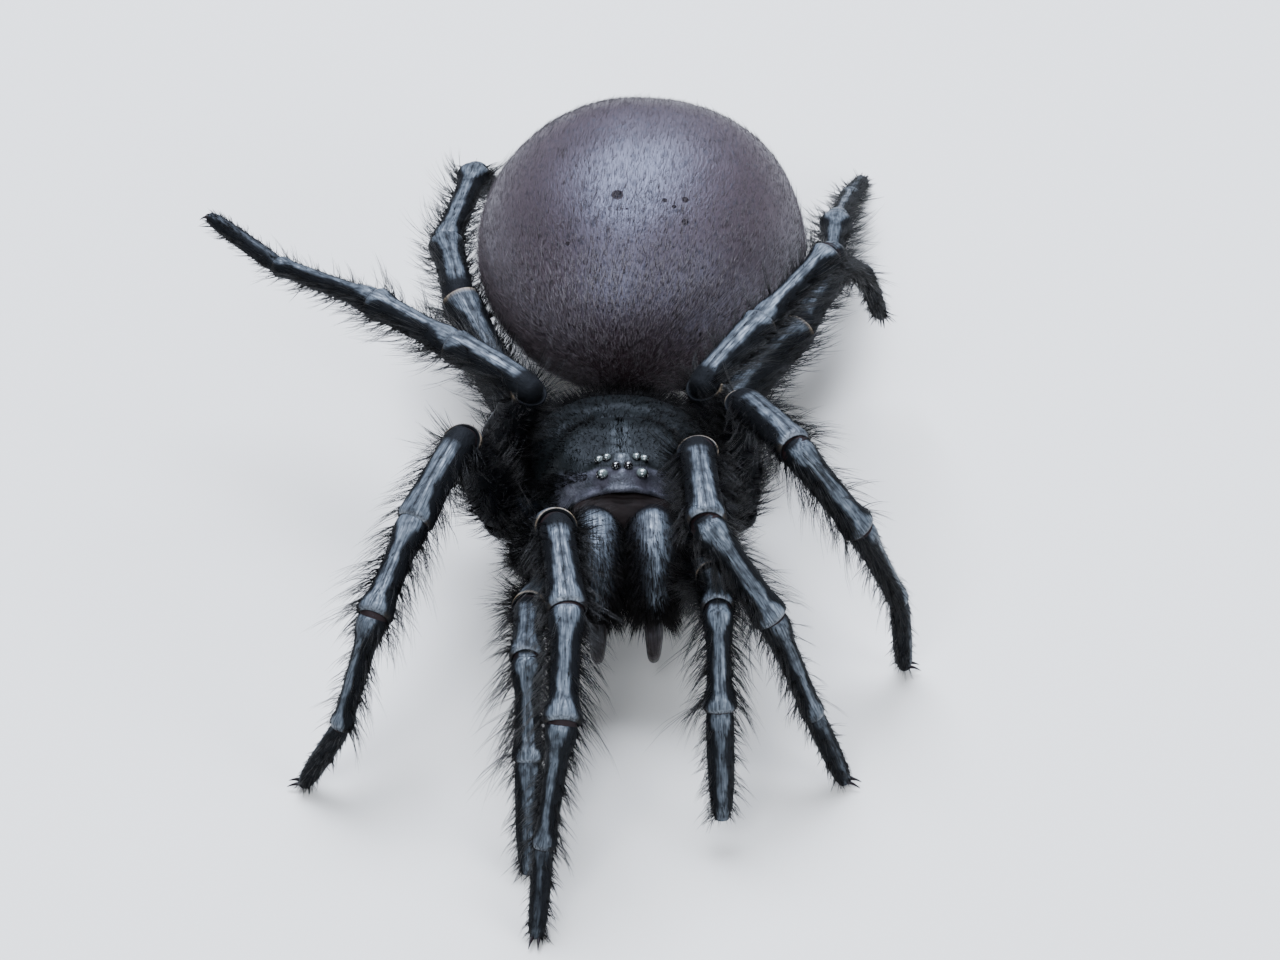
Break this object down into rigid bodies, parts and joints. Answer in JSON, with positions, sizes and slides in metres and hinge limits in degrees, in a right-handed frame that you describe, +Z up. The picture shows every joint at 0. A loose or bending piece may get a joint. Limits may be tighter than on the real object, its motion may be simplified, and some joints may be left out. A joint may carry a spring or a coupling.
{
  "type": "funnel-web spider",
  "caption": "Still life-size spider with a domed velvety abdomen, glossy head shield, stout jaws and jointed hairy legs, standing on the floor for display.",
  "frame": {"origin": "on the floor that the feet stand on, under the middle of the whole spider's box", "axes": "-Y is where the head points, +X is the spider's left, +Z is up"},
  "size_m": [0.0332, 0.0568, 0.0144],
  "materials": {
    "glossy_black_shell": "glossy blue-black chitin",
    "eye_glass": "very glossy black lens",
    "hairy_black_leg": "glossy black chitin under grey-brown hair",
    "plum_velvet": "velvety dark plum skin with short hair",
    "brown_black_jaw": "glossy brown-black chitin",
    "dark_red_fang": "polished dark red-brown chitin"
  },
  "bodies": {
    "root": {"abdomen": "plum_velvet", "carapace": "glossy_black_shell", "chelicera_left": "brown_black_jaw", "chelicera_right": "brown_black_jaw", "eyes": "eye_glass", "fang_left": "dark_red_fang", "fang_right": "dark_red_fang", "leg_left_1_lower": "hairy_black_leg", "leg_left_1_middle": "hairy_black_leg", "leg_left_1_upper": "hairy_black_leg", "leg_left_2_lower": "hairy_black_leg", "leg_left_2_middle": "hairy_black_leg", "leg_left_2_upper": "hairy_black_leg", "leg_left_3_lower": "hairy_black_leg", "leg_left_3_middle": "hairy_black_leg", "leg_left_3_upper": "hairy_black_leg", "leg_left_4_lower": "hairy_black_leg", "leg_left_4_middle": "hairy_black_leg", "leg_left_4_upper": "hairy_black_leg", "leg_right_1_lower": "hairy_black_leg", "leg_right_1_middle": "hairy_black_leg", "leg_right_1_upper": "hairy_black_leg", "leg_right_2_lower": "hairy_black_leg", "leg_right_2_middle": "hairy_black_leg", "leg_right_2_upper": "hairy_black_leg", "leg_right_3_lower": "hairy_black_leg", "leg_right_3_middle": "hairy_black_leg", "leg_right_3_upper": "hairy_black_leg", "leg_right_4_lower": "hairy_black_leg", "leg_right_4_middle": "hairy_black_leg", "leg_right_4_upper": "hairy_black_leg", "palp_left_lower": "hairy_black_leg", "palp_left_upper": "hairy_black_leg", "palp_right_lower": "hairy_black_leg", "palp_right_upper": "hairy_black_leg", "pedicel": "plum_velvet", "spinneret_left": "plum_velvet", "spinneret_right": "plum_velvet", "sternum": "brown_black_jaw"}
  },
  "joints": []
}
